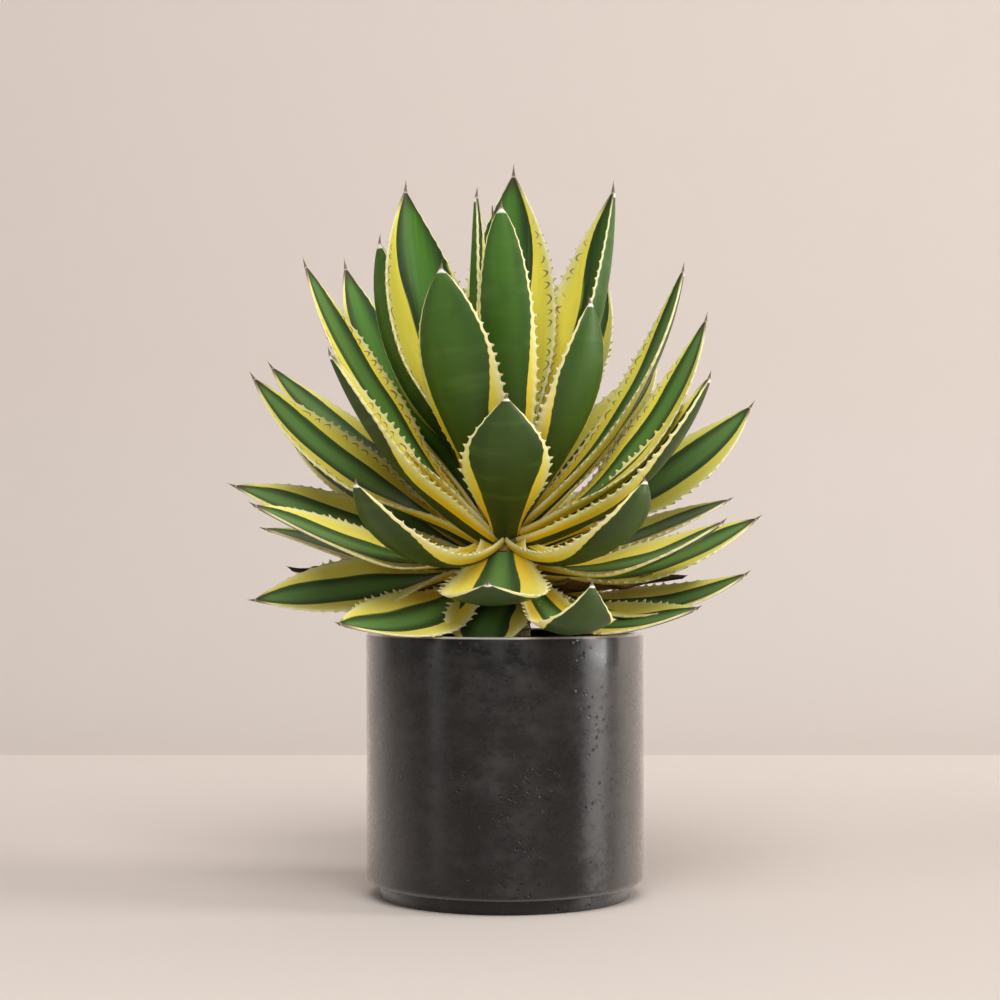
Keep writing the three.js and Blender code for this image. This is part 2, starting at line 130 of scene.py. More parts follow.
# tip, height of the root on the stem, width, climb at the stem and at the tip,
# roll about the midrib, and curl of the margins; the last two leaves are dry.
# A row may end with what sets its leaf apart: neck is the half width at the stem,
# full is how blunt the tip is from 0 to 1, turn moves the root round the stem, and
# start and end are the lengths of the curve's handles.
LEAVES = [
    ((-15, 4, 385), 204, 26, 76, 92, 0, 60, {"turn": 15}),
    ((5, 45, 405), 203, 54, 80, 88, 0, 38),
    ((-2, -16, 375), 203, 30, 80, 94, 0, 30, {"full": 0.7, "turn": 35}),
    ((60, 20, 391), 202, 60, 62, 86, 8, 66),
    ((-55, 28, 393), 202, 60, 66, 92, -24, 34),
    ((-33, -42, 338), 199, 48, 66, 94, 8, 34, {"full": 0.55}),
    ((-71, 56, 368), 198, 38, 64, 92, 80, 26, {"full": 0.6}),
    ((43, -52, 318), 200, 34, 46, 104, 0, 34, {"full": 0.5}),
    ((-94, 86, 358), 195, 46, 54, 76, -6, 30),
    ((100, 30, 348), 198, 38, 38, 78, 0, 30, {"full": 0.4}),
    ((60, 92, 352), 198, 46, 60, 72, 0, 30),
    ((-110, 0, 346), 195, 46, 43, 68, -24, 16),
    ((0.5, -64, 267), 195, 47, 32, 84, 0, 34, {"neck": 8.5, "full": 0.2}),
    ((109, -10, 315), 195, 46, 20, 74, 26, 16),
    ((-8, 116, 336), 194, 46, 52, 68, 0, 30),
    ((-92, -50, 292), 192, 38, 27, 66, -30, 50, {"full": 0.5}),
    ((108, -38, 281), 191, 38, 11, 72, 26, 50, {"full": 0.5}),
    ((-139, 85, 298), 190, 46, 34, 46, -10, 16),
    ((92, 102, 305), 190, 46, 42, 52, 0, 28),
    ((-139, 0, 284), 188, 48, 28, 54, -30, 16),
    ((35, 138, 290), 185, 46, 34, 50, 0, 28),
    ((139, 25, 270), 187, 46, 21, 50, 32, 14),
    ((-66, 128, 284), 184, 46, 32, 46, 0, 28),
    ((-75, -85, 223), 191, 42, -34, 84, -12, 40, {"neck": 8, "full": 0.55}),
    ((69, -85, 224), 191, 42, -34, 104, 12, 40, {"neck": 8, "full": 0.55}),
    ((-124, 78, 250), 180, 44, 20, 34, -14, 28),
    ((118, 84, 250), 183, 44, 20, 34, 0, 28),
    ((-6, 160, 256), 178, 46, 20, 34, 0, 28),
    ((-151, 0, 223), 182, 52, 7, 16, -26, 16),
    ((140, 0, 206), 173, 44, -10, 30, 24, 16),
    ((-131, -70, 211), 183, 52, -12, 22, -24, 16),
    ((114, -60, 203), 180, 46, -12, 34, 20, 18),
    ((130, 48, 217), 179, 44, 5, 20, 8, 16),
    ((70, 135, 232), 173, 46, 12, 22, 0, 26),
    ((-70, 138, 226), 172, 46, 12, 20, 0, 26),
    ((-140, 52, 200), 173, 44, -4, 8, -10, 16),
    ((-9, -92, 172), 189, 54, -44, 56, 0, 16, {"neck": 13}),
    ((43, -92, 172), 180, 42, -35, 86, 0, 22, {"neck": 8, "full": 0.1, "start": 0.85, "end": 0.38}),
    ((22, 150, 206), 167, 46, 6, 10, 0, 24),
    ((130, -30, 176), 171, 44, -30, 32, 20, 16, {"neck": 7}),
    ((-137, -25, 160), 177, 50, -10, -4, -32, 16),
    ((101, -62, 158), 167, 44, -38, 20, 20, 16, {"neck": 7}),
    ((-86, -83, 150), 178, 50, -44, 8, -22, 16, {"neck": 8}),
    ((108, 92, 178), 161, 44, -6, -4, 0, 24),
    ((-86, 112, 172), 161, 44, -8, -6, 0, 24),
    ((22, 118, 149), 155, 44, -6, -4, 0, 24),
    ((-12, -57, 134), 171, 46, -56, -84, 0, 18, {"neck": 11, "full": 1, "turn": 10}),
    ((80, 62, 156), 152, 38, -4, 0, 0, 24),
    ((-84, 46, 154), 153, 38, -4, -4, 0, 24),
    ((-36, 88, 152), 150, 38, -2, 0, 0, 24),
    ((99, -6, 173), 168, 18, -4, 6, 15, 50),
    ((-120, 10, 178), 163, 20, 2, 20, -30, 50),
]
DRY_LEAVES = 2
# How far the green stripe lies off the midrib, as a share of the half width.
STRIPE_LEAN = {2: -0.16, 4: 0.12, 5: 0.3, 9: 0.08, 12: 0.1, 14: -0.08, 18: 0.1, 22: -0.08}
# Leaves marked by the teeth of their neighbours.
PRINTED = (2, 4, 5, 10, 12, 14, 16, 17, 20, 24, 25)


def lerp(a, b, t):
    return a + (b - a) * t


def smooth(x, low, high):
    t = np.clip((x - low) / (high - low), 0, 1)
    return t * t * (3 - 2 * t)


def unit(rows):
    return rows / np.linalg.norm(rows, axis=-1, keepdims=True)


def stem_radius(height):
    t = min(max((CROWN_HEIGHT - height) / CROWN_TAPER, 0), 1)
    return lerp(CROWN_RADIUS, STEM_RADIUS, math.sin(t * math.pi / 2))


class Leaf:
    """One leaf's midrib, sections and margins, in millimetres."""

    def __init__(self, rank, row):
        tip, root, self.width, launch, finish, self.roll, self.cup = row[:7]
        extra = row[7] if len(row) > 7 else {}
        self.rank = rank
        self.neck = extra.get("neck", NECK_HALF_WIDTH)
        blunt = extra.get("full", TIP_BLUNTNESS)
        self.fullness = lerp(*TIP_FULLNESS, blunt)
        self.sharpness = lerp(*TIP_SHARPNESS, blunt)
        self.dry = rank >= len(LEAVES) - DRY_LEAVES
        self.name = f"{'dry_leaf' if self.dry else 'leaf'}_{rank + 1:02d}"
        self.random = np.random.default_rng(100 + rank)
        self.azimuth = math.atan2(tip[1], tip[0])
        root_azimuth = self.azimuth + math.radians(extra.get("turn", 0))
        depth = max(stem_radius(root) - ROOT_DEPTH_IN_STEM, 0.5)
        foot = np.array([math.cos(root_azimuth) * depth, math.sin(root_azimuth) * depth, root])
        tip = np.array(tip, float)
        chord = np.linalg.norm(tip - foot)
        second = foot + self.direction(root_azimuth, launch) * extra.get("start", HANDLE) * chord
        third = tip - self.direction(self.azimuth, finish) * extra.get("end", HANDLE) * chord
        self.handles = (foot, second, third, tip)
        dense = np.linspace(0, 1, 401)
        steps = np.linalg.norm(np.diff(self.midrib(dense)[0], axis=0), axis=1)
        self.run = np.concatenate([[0], np.cumsum(steps)])
        self.length = self.run[-1]
        self.dense = dense
        self.teeth = [self.tooth_rows() for _ in range(2)]

    @staticmethod
    def direction(azimuth, climb):
        a = math.radians(climb)
        return np.array([math.cos(a) * math.cos(azimuth), math.cos(a) * math.sin(azimuth), math.sin(a)])

    def at(self, run):
        return np.interp(run, self.run, self.dense)

    def midrib(self, s):
        s = np.atleast_1d(s)[:, None]
        r = 1 - s
        a, b, c, d = self.handles
        place = r**3 * a + 3 * r * r * s * b + 3 * r * s * s * c + s**3 * d
        along = 3 * r * r * (b - a) + 6 * r * s * (c - b) + 3 * s * s * (d - c)
        return place, unit(along)

    def half_width(self, s):
        widest = self.width / 2
        t = np.clip(s / WIDEST_AT, 0, 1)
        u = np.clip((s - WIDEST_AT) / (BLADE_END - WIDEST_AT), 0, 1)
        lower = lerp(self.neck, widest, t * t * (3 - 2 * t))
        upper = lerp(SPINE_HALF_WIDTH, widest, (1 - u**self.fullness) ** self.sharpness)
        return np.where(s < WIDEST_AT, lower, upper) * self.spine_taper(s)

    @staticmethod
    def spine_taper(s):
        return np.clip((1 - s) / (1 - BLADE_END), SPINE_POINT, 1) ** 1.3

    def thickness(self, s):
        first = lerp(BASE_THICKNESS, MIDDLE_THICKNESS, s / 0.5)
        last = lerp(MIDDLE_THICKNESS, TIP_THICKNESS, (s - 0.5) / 0.5)
        return np.where(s < 0.5, first, last) * self.spine_taper(s)

    def section(self, s):
        place, along = self.midrib(s)
        outward = np.array([math.cos(self.azimuth), math.sin(self.azimuth), 0])
        climb = np.arctan2(along[:, 2], along @ outward)[:, None]
        face = -np.sin(climb) * outward + np.cos(climb) * np.array([0, 0, 1])
        face = unit(face - np.sum(face * along, axis=1, keepdims=True) * along)
        twist = math.radians(self.roll) * smooth(np.atleast_1d(s), ROLLS_FROM, ROLLED_BY)[:, None]
        face = face * np.cos(twist) + np.cross(along, face) * np.sin(twist)
        side = np.cross(along, face)
        curl = np.radians(lerp(BASE_CUP, self.cup, smooth(np.atleast_1d(s), 0, CURLED_BY)))
        return place, along, side, face, curl

    def surface(self, s, v, depth, beyond=0.0):
        """Points at s along and v across; arrays of one length, or numbers."""
        alike = np.broadcast_arrays(*(np.asarray(x, float) for x in (s, v, depth, beyond)))
        s, v, depth, beyond = (x.ravel() for x in alike)
        place, _, side, face, curl = self.section(s)
        radius = self.half_width(s) / curl
        angle = curl * v
        across = radius * np.sin(angle) + np.sign(v) * beyond * np.cos(angle)
        lift = radius * (1 - np.cos(angle)) + beyond * np.sin(np.abs(angle))
        rim = MARGIN_THICKNESS * self.spine_taper(s)
        inward = -depth * (rim + (self.thickness(s) - rim) * (1 - v * v))
        return (
            place
            + side * (across - np.sin(angle) * inward)[:, None]
            + face * (lift + np.cos(angle) * inward)[:, None]
        )

    def tooth_rows(self):
        """(distance along the leaf, size) of each tooth on one margin."""
        rows = []
        run = self.length * FIRST_TOOTH_AT + self.random.uniform(0, 3)
        while run < self.length * LAST_TOOTH_AT:
            s = run / self.length
            size = 0.55 + 0.5 * math.sin(math.pi * min(1, s * 1.15)) - 0.35 * max(0, s - 0.7) / 0.3
            rows.append((run, size * self.random.uniform(0.75, 1.15)))
            run += TOOTH_PITCH * self.random.uniform(0.72, 1.2) * (0.8 + 0.4 * s)
        return rows

    def scallop(self, run, side):
        bumps = np.zeros_like(run)
        for place, size in self.teeth[side]:
            bumps += size * np.clip(1 - np.abs(run - place) / SCALLOP_REACH, 0, 1) ** 1.4
        return SCALLOP * bumps


def new_object(name, points, faces, looks, layers=None, kinds=None, smooth_faces=True):
    """A mesh object in metres from points in millimetres; kinds picks each face's look."""
    mesh = bpy.data.meshes.new(name)
    mesh.from_pydata((np.asarray(points) * MM).tolist(), [], faces)
    for key, values in (layers or {}).items():
        layer = mesh.attributes.new(key, "FLOAT", "POINT")
        layer.data.foreach_set("value", np.asarray(values, np.float32))
    for look in looks:
        mesh.materials.append(look)
    if kinds is not None:
        mesh.polygons.foreach_set("material_index", kinds)
    mesh.polygons.foreach_set("use_smooth", [smooth_faces] * len(faces))
    mesh.update()
    made = bpy.data.objects.new(name, mesh)
    bpy.context.scene.collection.objects.link(made)
    return made


def toothed(s):
    """How far the margin is toothed at s: not at all near the stem and at the spine."""
    return smooth(s, 0.05, 0.2) * (1 - smooth(s, 0.9, BLADE_END))


def build_leaf(leaf, looks):
    blade_run = np.interp(BLADE_END, leaf.dense, leaf.run)
    count = int(blade_run / STATION_STEP) + 2
    spine_steps = np.linspace(0, 1, SPINE_STATIONS + 1)[1:]
    blade_steps = np.linspace(0, blade_run, count)
    run = np.concatenate([blade_steps, lerp(blade_run, leaf.length, spine_steps)])
    s = leaf.at(run)
    rows = len(s)
    # Columns lie closer together towards the margins.
    even = np.linspace(-1, 1, COLUMNS)
    v = np.sign(even) * (1 - (1 - np.abs(even)) ** 1.25)
    # The ring round the leaf: upper face, right margin, lower face back, left margin.
    ring = [(x, 0.0, 0.0) for x in v] + [(1.0, 0.5, RIM_BULGE)]
    ring += [(x, 1.0, 0.0) for x in v[::-1]] + [(-1.0, 0.5, RIM_BULGE)]
    size = len(ring)
    fade = toothed(s)
    swell = [leaf.scallop(run, k) * fade for k in (0, 1)]
    grid = np.zeros((rows, size, 3))
    for k, (x, depth, bulge) in enumerate(ring):
        reach = swell[int(x > 0)] * abs(x) ** 5 + bulge * leaf.spine_taper(s)
        grid[:, k] = leaf.surface(s, x, depth, reach)
    if leaf.dry:
        phase = leaf.random.uniform(0, 6)
        ripple = sum(height * np.sin(run / length + share * phase) for height, length, share in RIPPLES)
        ripple *= smooth(s, 0.1, 0.3) * (1 - smooth(s, 0.8, 1))
        grid[:, :, 2] += np.outer(ripple, [0.8 * x for x, _, _ in ring])
    points = list(grid.reshape(-1, 3))
    layers = {
        "across": list(np.tile([x for x, _, _ in ring], rows)),
        "along": list(np.repeat(s, size)),
        "run": list(np.repeat(run, size)),
        "half": list(np.repeat(leaf.half_width(s), size)),
    }
    faces = [tuple(reversed(range(size)))]
    kinds = [UPPER]
    for i in range(rows - 1):
        a = i * size
        for k in range(size):
            n = (k + 1) % size
            faces.append((a + k, a + n, a + size + n, a + size + k))
            below = COLUMNS < k < 2 * COLUMNS
            kinds.append(SPINE if i >= count - 1 else UNDERSIDE if below else UPPER)
    faces.append(tuple((rows - 1) * size + k for k in range(size)))
    kinds.append(SPINE)
    if not leaf.dry:
        add_teeth(leaf, points, layers, faces, kinds)
    layers["tone"] = [leaf.rank / (len(LEAVES) - 1)] * len(points)
    layers["printed"] = [float(leaf.rank + 1 in PRINTED)] * len(points)
    layers["lean"] = [STRIPE_LEAN.get(leaf.rank + 1, 0.0)] * len(points)
    layers["seed"] = [leaf.random.uniform(0, 1)] * len(points)
    made = new_object(leaf.name + ".skin", points, faces, looks, layers, kinds)
    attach(made, "root")
    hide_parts(leaf.name)


def add_teeth(leaf, points, layers, faces, kinds):
    """Small hooked cones, sunk into the margin that swells towards each of them."""
    for k, side in enumerate((-1, 1)):
        for run, size in leaf.teeth[k]:
            s = float(leaf.at(run))
            fade = float(toothed(s))
            if fade < 0.2:
                continue
            size *= lerp(0.6, 1, fade)
            reach = float(leaf.scallop(np.array([run]), k)[0]) * fade
            _, tangent, right, face, curl = (x[0] for x in leaf.section(np.array([s])))
            outward = right * side * math.cos(curl) + face * math.sin(curl)
            normal = np.cross(outward, tangent)
            margin = leaf.surface(s, side, 0.5, reach)[0]
            length = TOOTH_LENGTH * size
            lean = leaf.random.uniform(-0.1, 0.5) * length * tangent
            lean = lean + leaf.random.uniform(-0.25, 0.25) * length * normal
            first = len(points)
            for height, width, bend in TOOTH_LEVELS:
                centre = margin + outward * height * length + lean * bend
                for q in range(TOOTH_SIDES):
                    a = 2 * math.pi * q / TOOTH_SIDES
                    points.append(
                        centre
                        + tangent * TOOTH_HALF_BASE * size * width * math.cos(a)
                        + normal * TOOTH_HALF_THICKNESS * size * width * math.sin(a)
                    )
                    layers["across"].append(max(height, 0))
            points.append(margin + outward * length + lean)
            layers["across"].append(1)
            tip = len(points) - 1
            layers["along"] += [s] * (tip + 1 - first)
            layers["run"] += [run] * (tip + 1 - first)
            layers["half"] += [size] * (tip + 1 - first)
            for q in range(TOOTH_SIDES):
                n = (q + 1) % TOOTH_SIDES
                for level in range(len(TOOTH_LEVELS) - 1):
                    a = first + level * TOOTH_SIDES
                    b = a + TOOTH_SIDES
                    faces.append((a + q, a + n, b + n, b + q))
                    kinds.append(TOOTH)
                last = tip - TOOTH_SIDES
                faces.append((last + q, last + n, tip))
                kinds.append(TOOTH)
            faces.append(tuple(first + q for q in reversed(range(TOOTH_SIDES))))
            kinds.append(TOOTH)


class Look:
    """A material whose node tree is built call by call."""

    def __init__(self, name):
        self.material = bpy.data.materials.new(name)
        self.material.use_nodes = True
        self.tree = self.material.node_tree
        self.shader = self.tree.nodes["Principled BSDF"]

    def feed(self, socket, value):
        if isinstance(value, bpy.types.NodeSocket):
            self.tree.links.new(value, socket)
        else:
            socket.default_value = value

    def node(self, kind, inputs=(), **settings):
        made = self.tree.nodes.new(kind)
        for key, value in settings.items():
            setattr(made, key, value)
        for key, value in dict(inputs).items():
            self.feed(made.inputs[key], value)
        return made

    def math(self, operation, *values):
        made = self.node("ShaderNodeMath", enumerate(values), operation=operation)
        return made.outputs[0]

    def step(self, value, low, high):
        """0 below low, 1 above high, with a soft passage between them."""
        made = self.node("ShaderNodeMapRange", interpolation_type="SMOOTHSTEP")
        for key, number in (("Value", value), ("From Min", low), ("From Max", high)):
            self.feed(made.inputs[key], number)
        return made.outputs["Result"]

    def mix(self, factor, first, second):
        made = self.node("ShaderNodeMix", data_type="RGBA")
        for place, value in ((0, factor), (6, first), (7, second)):
            self.feed(made.inputs[place], value)
        return made.outputs[2]

    def layer(self, name):
        return self.node("ShaderNodeAttribute", attribute_name=name).outputs["Fac"]

    def vector(self, x, y, z):
        return self.node("ShaderNodeCombineXYZ", {"X": x, "Y": y, "Z": z}).outputs[0]

    def place(self):
        """The point in the object's own millimetres."""
        where = self.node("ShaderNodeTexCoord").outputs["Object"]
        made = self.node("ShaderNodeVectorMath", {0: where}, operation="SCALE")
        made.inputs["Scale"].default_value = 1000
        return made.outputs[0]

    def noise(self, vector, scale=1.0, detail=2.0, roughness=0.5):
        inputs = {"Vector": vector, "Scale": scale, "Detail": detail, "Roughness": roughness}
        return self.node("ShaderNodeTexNoise", inputs).outputs["Fac"]

    def bump(self, height, distance, strength=1.0):
        """distance is the relief in millimetres."""
        inputs = {"Height": height, "Distance": distance * MM, "Strength": strength}
        self.feed(self.shader.inputs["Normal"], self.node("ShaderNodeBump", inputs).outputs[0])

    def finish(self, color, roughness, specular=0.5):
        self.feed(self.shader.inputs["Base Color"], color)
        self.feed(self.shader.inputs["Roughness"], roughness)
        self.shader.inputs["Specular IOR Level"].default_value = specular
        return self.material


def srgb(red, green, blue):
    """Linear colour from the 0 to 255 values of a display."""
    parts = [value / 255 for value in (red, green, blue)]
    return tuple(v / 12.92 if v <= 0.04045 else ((v + 0.055) / 1.055) ** 2.4 for v in parts) + (1,)


def leaf_layers(look):
    """The leaf's own coordinates: share and millimetres across, and along it."""
    across = look.layer("across")
    share = look.math("ABSOLUTE", across)
    off_stripe = look.math("ABSOLUTE", look.math("SUBTRACT", across, look.layer("lean")))
    width = look.math("MULTIPLY", across, look.layer("half"))
    seed = look.math("MULTIPLY", look.layer("seed"), 40)
    return share, off_stripe, width, look.layer("run"), look.layer("along"), look.layer("tone"), seed


def stretched(look, width, run, seed, fine, coarse):
    """A vector for noise drawn out along the leaf."""
    return look.vector(look.math("MULTIPLY", width, fine), look.math("MULTIPLY", run, coarse), seed)


def leaf_upper_look():
    look = Look("leaf_upper")
    share, off_stripe, width, run, along, tone, seed = leaf_layers(look)
    drift = look.noise(stretched(look, width, run, seed, 0.08, 0.016), detail=1)
    streak = look.noise(stretched(look, width, run, seed, 0.9, 0.012), detail=3, roughness=0.6)
    mottle = look.noise(stretched(look, width, run, seed, 0.35, 0.05), detail=3)
    wander = look.math("MULTIPLY_ADD", drift, 0.18, -0.09)
    fray = look.math("MULTIPLY_ADD", streak, 0.06, -0.03)
    x = look.math("ADD", look.math("ADD", off_stripe, wander), fray)
    # The green narrows to about half of the leaf and widens again to its tip,
    # less so on the outer leaves.
    outside = look.step(tone, 0.06, 0.34)
    gain = look.math("MULTIPLY_ADD", outside, -0.14, 0.4)
    widening = look.math("MULTIPLY", look.step(along, 0.57, 0.96), gain)
    edge = look.math("ADD", widening, look.math("MULTIPLY_ADD", outside, -0.05, 0.54))
    yellow_share = look.step(x, look.math("SUBTRACT", edge, 0.012), look.math("ADD", edge, 0.012))
    within = look.math("DIVIDE", x, edge)
    # A pale middle stripe fades into the dark bands beside it.
    middle = look.step(within, 0.85, 0.2)
    inner = look.mix(middle, srgb(37, 66, 22), srgb(70, 122, 28))
    outer = look.mix(middle, srgb(56, 82, 44), srgb(102, 143, 74))
    green = look.mix(outside, inner, outer)
    green = look.mix(look.step(streak, 0.45, 0.8), green, look.mix(0.15, green, srgb(150, 172, 90)))
    olive = look.math("MULTIPLY", look.step(drift, 0.52, 0.58), look.step(within, 0.92, 0.96))
    green = look.mix(olive, green, srgb(132, 146, 60))
    gold = look.mix(tone, srgb(250, 206, 14), srgb(244, 208, 60))
    bright = look.mix(tone, srgb(255, 242, 88), srgb(252, 236, 116))
    yellow = look.mix(look.step(along, 0.12, 0.55), gold, bright)
    yellow = look.mix(look.step(share, 0.75, 0.97), yellow, srgb(253, 246, 160))
    yellow = look.mix(look.step(mottle, 0.5, 0.85), yellow, look.mix(0.25, yellow, srgb(226, 200, 70)))
    # Where the next leaf's teeth pressed while both were folded in the bud.
    scatter = look.noise(look.vector(run, seed, 0.0), 0.07, 1)
    beat = look.math("FRACT", look.math("MULTIPLY_ADD", scatter, 1.6, look.math("DIVIDE", run, 7.6)))
    bend = look.math("MULTIPLY", beat, look.math("SUBTRACT", 0.58, beat))
    centre = look.math("MULTIPLY_ADD", drift, 0.24, 0.68)
    centre = look.math("MULTIPLY_ADD", bend, 1.1, centre)
    off_print = look.math("ABSOLUTE", look.math("SUBTRACT", share, centre))
    print_line = look.step(off_print, 0.034, 0.014)
    for low, high, layer in ((0.6, 0.52, beat), (0.28, 0.34, scatter)):
        print_line = look.math("MULTIPLY", print_line, look.step(layer, low, high))
    for low, high in ((0.12, 0.2), (0.86, 0.8)):
        print_line = look.math("MULTIPLY", print_line, look.step(along, low, high))
    print_line = look.math("MULTIPLY", print_line, look.layer("printed"))
    yellow = look.mix(look.math("MULTIPLY", print_line, 0.8), yellow, srgb(132, 90, 34))
    color = look.mix(yellow_share, green, yellow)
    # A pale horny rim, and a dark foot under the terminal spine.
    color = look.mix(look.step(share, 0.975, 0.995), color, srgb(246, 238, 186))
    dark_tip = look.math("MULTIPLY", look.step(along, 0.9, 0.965), 0.85)
    color = look.mix(dark_tip, color, srgb(58, 44, 34))
    look.bump(look.math("ADD", streak, look.math("MULTIPLY", print_line, -0.8)), 0.25, 0.4)
    return look.finish(color, look.math("MULTIPLY_ADD", mottle, 0.2, 0.4), 0.28)


def leaf_underside_look():
    look = Look("leaf_underside")
    share, off_stripe, width, run, along, tone, seed = leaf_layers(look)
    drift = look.noise(stretched(look, width, run, seed, 0.06, 0.014), detail=1)
    streak = look.noise(stretched(look, width, run, seed, 0.8, 0.01), detail=3, roughness=0.6)
    bands = look.noise(stretched(look, width, run, seed, 0.03, 0.13), detail=2)
    blotch = look.noise(stretched(look, width, run, seed, 0.1, 0.06), detail=2)
    x = look.math("ADD", off_stripe, look.math("MULTIPLY_ADD", drift, 0.12, -0.06))
    x = look.math("ADD", x, look.math("MULTIPLY_ADD", streak, 0.05, -0.025))
    edge = look.math("MULTIPLY_ADD", look.step(along, 0.36, 0.72), 0.33, 0.6)
    yellow_share = look.step(x, look.math("SUBTRACT", edge, 0.012), look.math("ADD", edge, 0.012))
    # Painted shade: the underside's green darkens towards the stem, where the leaves above shade it.
    rise = look.step(along, 0.1, 0.85)
    fresh = look.mix(rise, srgb(54, 74, 10), srgb(74, 122, 34))
    dull = look.mix(rise, srgb(54, 66, 12), srgb(60, 82, 30))
    green = look.mix(look.step(tone, -0.05, 0.3), fresh, dull)
    # Darker along the two edges of the green.
    darker = look.math("MULTIPLY", look.step(off_stripe, 0.3, 0.75), 0.35)
    green = look.mix(darker, green, srgb(34, 50, 26))
    green = look.mix(look.step(bands, 0.5, 0.8), green, look.mix(0.25, green, srgb(112, 142, 64)))
    green = look.mix(look.step(blotch, 0.55, 0.8), green, look.mix(0.3, green, srgb(40, 60, 22)))
    yellow = look.mix(look.step(along, 0.15, 0.6), srgb(250, 202, 12), srgb(255, 236, 92))
    yellow = look.mix(look.step(share, 0.75, 0.97), yellow, srgb(252, 244, 160))
    color = look.mix(yellow_share, green, yellow)
    color = look.mix(look.step(share, 0.965, 0.99), color, srgb(248, 240, 196))
    # A white bead sits right under the spine.
    color = look.mix(look.step(along, 0.951, 0.957), color, srgb(250, 246, 232))
    look.bump(look.math("ADD", streak, bands), 0.25, 0.4)
    return look.finish(color, look.math("MULTIPLY_ADD", blotch, 0.2, 0.36), 0.35)


def tooth_look():
    look = Look("leaf_tooth")
    height = look.layer("across")
    age = look.math("MULTIPLY_ADD", look.layer("tone"), -1.6, 0.95)
    browned = look.math("MULTIPLY", look.step(height, 0.3, 0.8), look.math("MAXIMUM", age, 0.05))
    pale = look.mix(look.step(height, 0, 0.7), srgb(250, 238, 140), srgb(250, 244, 206))
    color = look.mix(browned, pale, srgb(124, 68, 40))
    look.bump(look.noise(look.place(), 1.5, 3), 0.1, 0.5)
    return look.finish(color, 0.45, 0.3)


def spine_look():
    look = Look("terminal_spine")
    along = look.layer("along")
    grain = look.noise(look.place(), 0.8, 3)
    color = look.mix(look.step(along, 0.965, 0.972), srgb(216, 204, 186), srgb(136, 108, 92))
    color = look.mix(look.step(along, 0.975, 0.997), color, srgb(108, 84, 74))
    color = look.mix(look.math("MULTIPLY", grain, 0.35), color, srgb(84, 62, 54))
    look.bump(grain, 0.1, 0.5)
    return look.finish(color, 0.5, 0.3)


def dry_leaf_look():
    look = Look("dry_leaf")
    share, _, width, run, along, _, seed = leaf_layers(look)
    fibre = look.noise(stretched(look, width, run, seed, 1.4, 0.05), detail=4, roughness=0.65)
    patch = look.noise(stretched(look, width, run, seed, 0.12, 0.08), detail=3)
    color = look.mix(look.step(patch, 0.35, 0.65), srgb(70, 44, 34), srgb(120, 88, 58))
    color = look.mix(look.step(fibre, 0.45, 0.8), color, srgb(158, 128, 92))
    color = look.mix(look.step(share, 0.85, 1), color, srgb(150, 126, 88))
    color = look.mix(look.step(along, 0.75, 0.95), color, srgb(54, 36, 30))
    look.bump(fibre, 0.8, 0.8)
    return look.finish(color, look.math("MULTIPLY_ADD", fibre, 0.2, 0.7), 0.25)


def glaze_look():
    """A dark, burnished glaze: cloudy, streaked round the pot, pitted here and there."""
    look = Look("pot_glaze")
    where = look.place()
    split = look.node("ShaderNodeSeparateXYZ", {0: where}).outputs
    turned = look.vector(split["X"], split["Y"], look.math("MULTIPLY", split["Z"], 1.5))
    cloud = look.noise(where, 0.02, 5, 0.6)
    smear = look.noise(turned, 0.04, 9, 0.74)
    grain = look.noise(turned, 0.22, 4, 0.6)
    painted_glint = look.noise(where, 0.6, 3, 0.6)
    cells = look.node("ShaderNodeTexVoronoi", {"Vector": where, "Scale": 0.3}).outputs[0]
    mask = look.noise(where, 0.045, 4, 0.65)
    pit = look.math("MULTIPLY", look.step(cells, 0.34, 0.22), look.step(mask, 0.55, 0.62))
    speck = look.math("MULTIPLY", look.step(grain, 0.58, 0.64), look.step(mask, 0.42, 0.56))
    color = look.mix(look.step(cloud, 0.36, 0.66), srgb(8, 8, 8), srgb(23, 21, 21))
    color = look.mix(look.step(smear, 0.42, 0.7), color, srgb(45, 42, 42))
    color = look.mix(speck, color, srgb(5, 5, 6))
    # Painted glints: small pale flecks stand in for light caught by bumps in the glaze.
    color = look.mix(look.step(painted_glint, 0.7, 0.76), color, srgb(104, 98, 94))
    color = look.mix(pit, color, srgb(4, 4, 4))
    rough = look.math("MULTIPLY_ADD", look.step(smear, 0.4, 0.64), 0.2, 0.24)
    relief = look.math("ADD", look.math("MULTIPLY", cloud, 1.2), look.math("MULTIPLY", grain, 0.12))
    relief = look.math("ADD", relief, look.math("MULTIPLY", smear, 0.2))
    look.bump(look.math("SUBTRACT", relief, look.math("MULTIPLY", pit, 1.4)), 0.45, 0.6)
    # The rim is painted pale as a painted highlight, and the turning marks draw the gloss out upwards.
    rim = look.step(split["Z"], POT_HEIGHT - 1.3, POT_HEIGHT - 0.5)
    color = look.mix(rim, color, srgb(196, 191, 184))
    look.shader.inputs["Anisotropic"].default_value = 0.85
    look.shader.inputs["Anisotropic Rotation"].default_value = 0.25
    tangent = look.node("ShaderNodeTangent", direction_type="RADIAL", axis="Z").outputs[0]
    look.feed(look.shader.inputs["Tangent"], tangent)
    # The glassy top of the glaze shows where the wall turns away.
    turning = look.node("ShaderNodeLayerWeight", {"Blend": 0.5}).outputs["Facing"]
    look.feed(look.shader.inputs["Coat Weight"], look.step(turning, 0.15, 0.6))
    look.shader.inputs["Coat Roughness"].default_value = 0.14
    look.shader.inputs["Coat IOR"].default_value = 1.9
    return look.finish(color, rough, 0.5)


def mix_look():
    look = Look("potting_mix")
    where = look.place()
    crumb = look.noise(where, 0.45, 5, 0.7)
    patch = look.noise(where, 0.06, 3)
    color = look.mix(look.step(patch, 0.35, 0.65), srgb(34, 24, 18), srgb(66, 48, 34))
    color = look.mix(look.step(crumb, 0.52, 0.75), color, srgb(104, 78, 54))
    look.bump(crumb, 1.2, 0.9)
    return look.finish(color, 0.92, 0.2)


